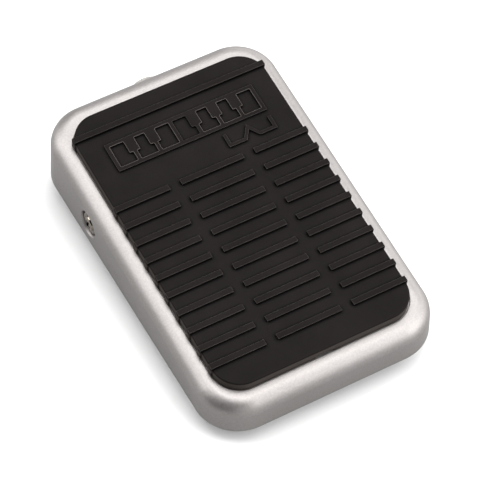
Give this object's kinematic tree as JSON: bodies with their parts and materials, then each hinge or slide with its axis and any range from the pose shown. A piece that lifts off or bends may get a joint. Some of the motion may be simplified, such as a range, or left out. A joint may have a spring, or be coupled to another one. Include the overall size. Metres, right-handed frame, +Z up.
{
  "type": "sustain pedal foot switch",
  "caption": "Compact keyboard sustain pedal: sloping metal treadle with a ribbed rubber pad, hinged on side screws over a sprung base with a lever switch and rear jack.",
  "frame": {"origin": "middle of the bounding box, on the floor under the pedal", "axes": "+X to the player's right, -Y towards the toe end, +Y towards the jack end, +Z up"},
  "size_m": [0.0684, 0.106, 0.0246],
  "materials": {
    "silver_paint": "silver metallic paint over die-cast metal, fine grain, satin",
    "pad_rubber": "moulded black rubber, matt with a faint sheen",
    "adhesive": "fibre and adhesive sheet",
    "nylon": "natural nylon",
    "black_plastic": "moulded black plastic",
    "nickel": "nickel plate",
    "screw_nickel": "bright nickel plate",
    "contact_brass": "spring brass",
    "black_steel": "black powder coat on pressed steel",
    "sole_rubber": "black rubber",
    "spring_steel": "drawn spring steel",
    "board": "green solder resist",
    "red_plastic": "red moulded plastic",
    "white_sleeve": "white wire sleeve"
  },
  "bodies": {
    "base": {"base_plate": "black_steel", "rubber_sole": "sole_rubber", "pivot_screws": "screw_nickel", "clinch_nuts": "nickel", "rest_bumpers": "sole_rubber", "travel_bumpers": "sole_rubber", "spring_seats": "nylon", "return_spring_left": "spring_steel", "return_spring_right": "spring_steel", "circuit_board": "board", "board_spacers": "adhesive", "board_screws": "nickel", "switch_case": "black_plastic", "switch_terminals": "nickel", "tip_wire": "white_sleeve", "sleeve_wire": "black_plastic", "wire_clip": "nylon"},
    "treadle": {"treadle_cover": "silver_paint", "rubber_pad": "pad_rubber", "pad_adhesive": "adhesive", "pivot_bushes": "nylon", "switch_pusher": "nylon", "jack_housing": "black_plastic", "jack_ferrule": "nickel", "jack_inner_washer": "adhesive", "jack_outer_washer": "nickel", "jack_nut": "nickel", "jack_tip_contact": "contact_brass", "jack_sleeve_contact": "contact_brass"},
    "switch_lever": {"switch_lever": "spring_steel"},
    "switch_plunger": {"switch_plunger": "red_plastic"}
  },
  "joints": [
    {"name": "treadle_hinge", "type": "hinge", "parent": "base", "child": "treadle", "pos_m": [0, 0.01976, 0.0117], "axis": [1, 0, 0], "range_deg": [0, 2.8], "stiffness_Nm_per_rad": 4, "springref_deg": -3.72, "deforming": ["return_spring_left", "return_spring_right"]},
    {"name": "lever_hinge", "type": "hinge", "parent": "base", "child": "switch_lever", "pos_m": [0, 0.00306, 0.01255], "axis": [1, 0, 0], "range_deg": [0, 5.8]},
    {"name": "plunger_slide", "type": "slide", "parent": "base", "child": "switch_plunger", "axis": [0, 0, -1], "range_m": [0, 0.00045]}
  ],
  "couplings": [
    {"joint": "lever_hinge", "follows": "treadle_hinge", "ratio": 2.04},
    {"joint": "plunger_slide", "follows": "treadle_hinge", "m_per_rad": 0.0086}
  ]
}
